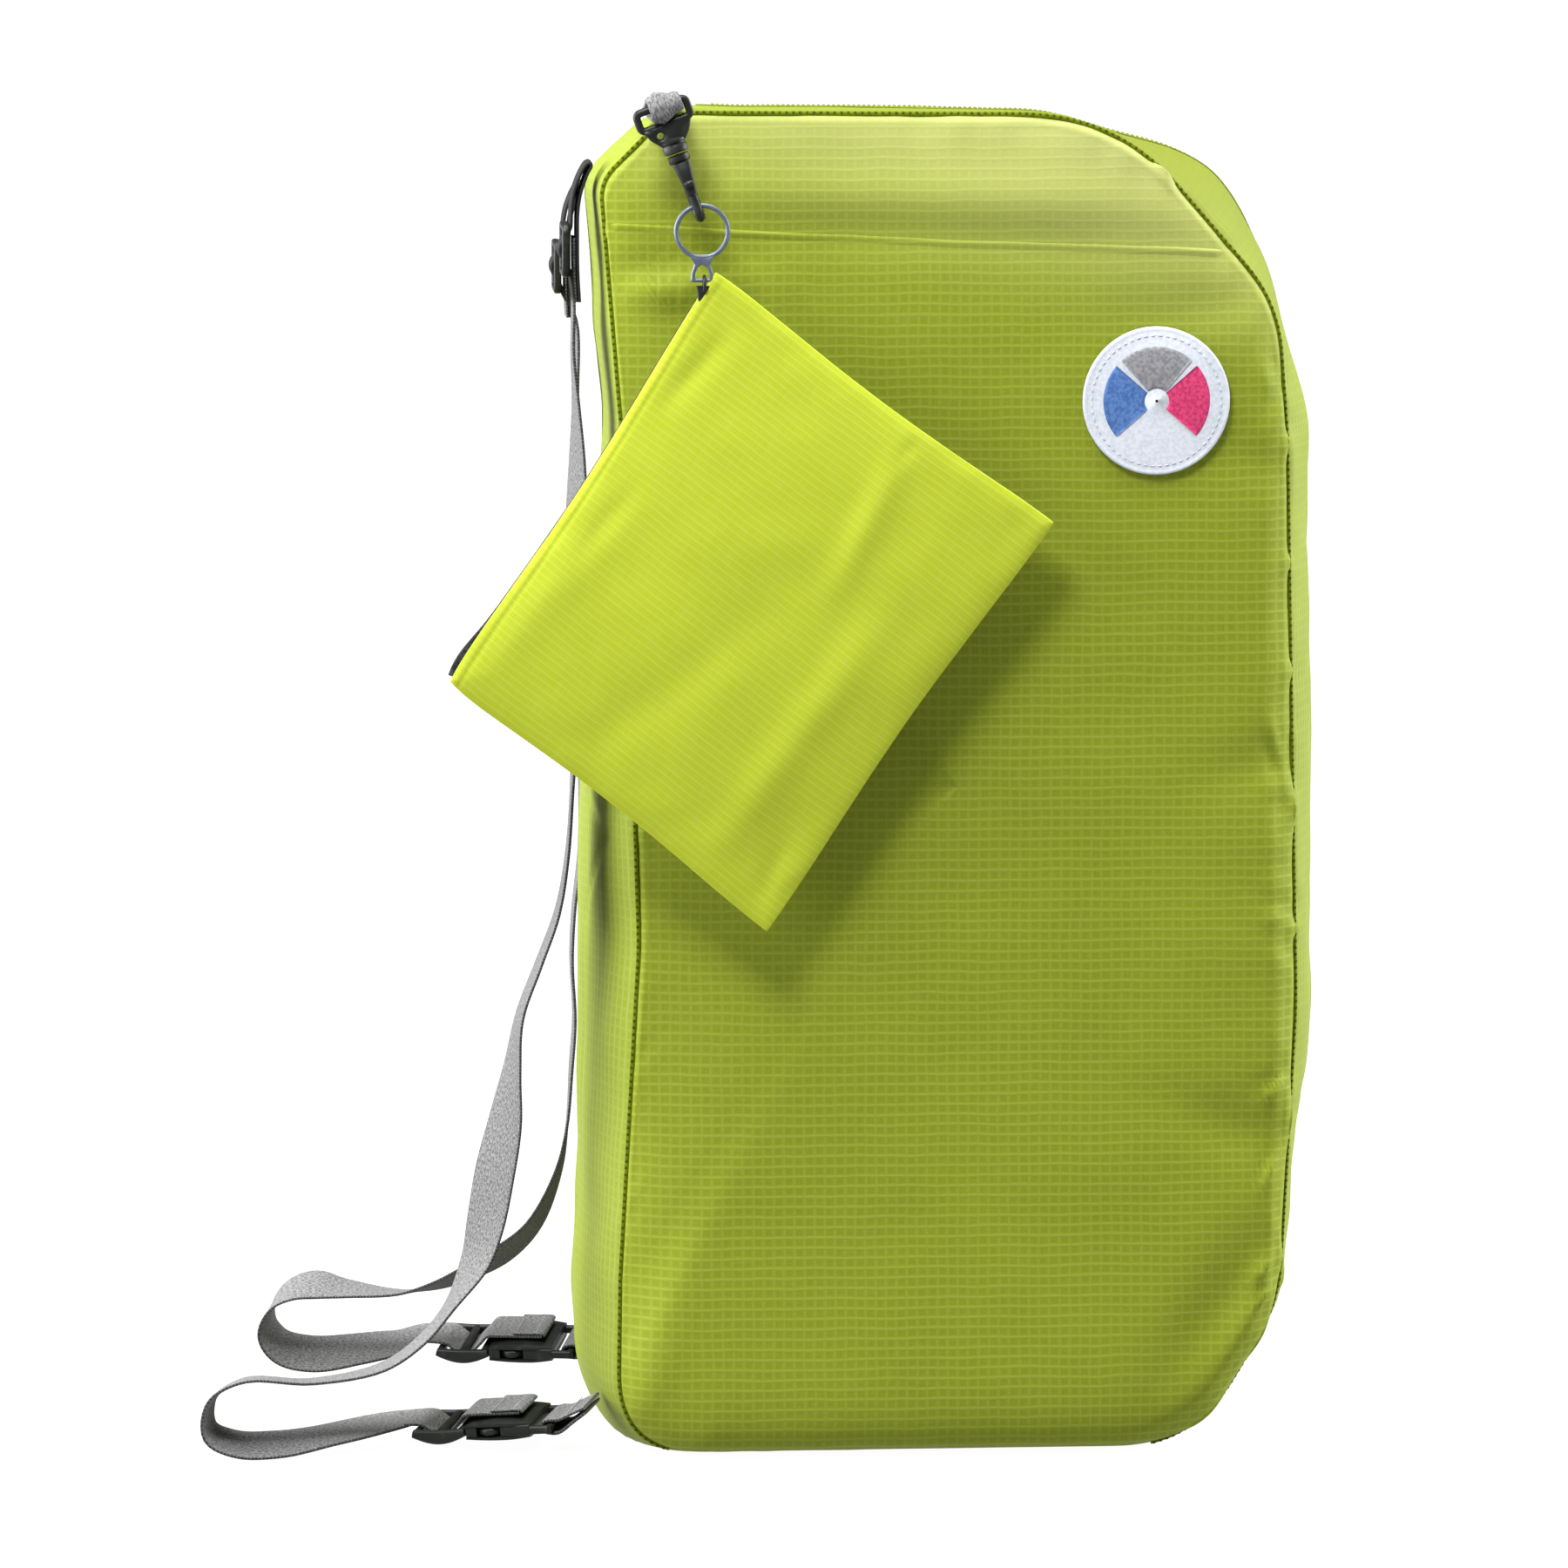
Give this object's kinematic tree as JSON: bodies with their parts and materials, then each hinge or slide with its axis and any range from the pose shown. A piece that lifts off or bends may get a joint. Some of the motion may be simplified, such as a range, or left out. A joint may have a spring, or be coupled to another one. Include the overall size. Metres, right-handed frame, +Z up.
{
  "type": "convertible backpack",
  "caption": "Soft ripstop backpack standing on its base, with webbing shoulder straps on its narrow side and a small zipped pouch hanging from a swivel snap hook.",
  "frame": {"origin": "middle of the flat base that the bag stands on", "axes": "+X across the wide face towards the side without straps, +Y from the front face to the back, +Z up"},
  "size_m": [0.3776, 0.1774, 0.4551],
  "materials": {
    "ripstop": "lime ripstop nylon with a fine lighter grid and a slight sheen",
    "pouch_ripstop": "brighter lime ripstop nylon with a fine grid",
    "webbing": "thin grey woven webbing",
    "acetal": "black moulded acetal, satin",
    "pull_metal": "grey-blue coated metal",
    "badge_cloth": "pale grey embroidered cloth with coloured segments",
    "zip_tape": "black woven zip tape and coil",
    "lime_zip": "lime woven zip tape and coil, the colour of the bag"
  },
  "bodies": {
    "bag": {"front_panel": "ripstop", "back_panel": "ripstop", "base_gusset": "ripstop", "right_gusset": "ripstop", "top_gusset": "ripstop", "harness_gusset": "ripstop", "main_zip": "lime_zip", "badge": "badge_cloth", "near_slider": "acetal", "near_ladder": "acetal", "near_catch": "acetal", "near_tab": "webbing", "near_strap": "webbing", "far_slider": "acetal", "far_ladder": "acetal", "far_catch": "acetal", "far_tab": "webbing", "far_strap": "webbing", "hook_loop": "webbing", "hook_eye": "acetal"},
    "hook": {"hook_shank": "acetal"},
    "gate": {"hook_gate": "acetal"},
    "pouch": {"pull_ring": "pull_metal", "pouch_slider": "acetal", "pouch_zip": "zip_tape", "pouch_front": "pouch_ripstop", "pouch_back": "pouch_ripstop"}
  },
  "joints": [
    {"name": "hook_swivel", "type": "hinge", "parent": "bag", "child": "hook", "pos_m": [-0.0933, -0.09, 0.4346], "axis": [-0.342, 0, 0.9397], "range_deg": [-6, 6]},
    {"name": "hook_gate", "type": "hinge", "parent": "hook", "child": "gate", "pos_m": [-0.09197, -0.0939, 0.43093], "axis": [0.9397, 0, 0.342], "range_deg": [0, 20], "stiffness_Nm_per_rad": 0.01, "springref_deg": -5.73},
    {"name": "pouch_swing", "type": "hinge", "parent": "hook", "child": "pouch", "pos_m": [-0.0853, -0.09, 0.4177], "axis": [-1, 0, 0], "range_deg": [0, 75]}
  ]
}
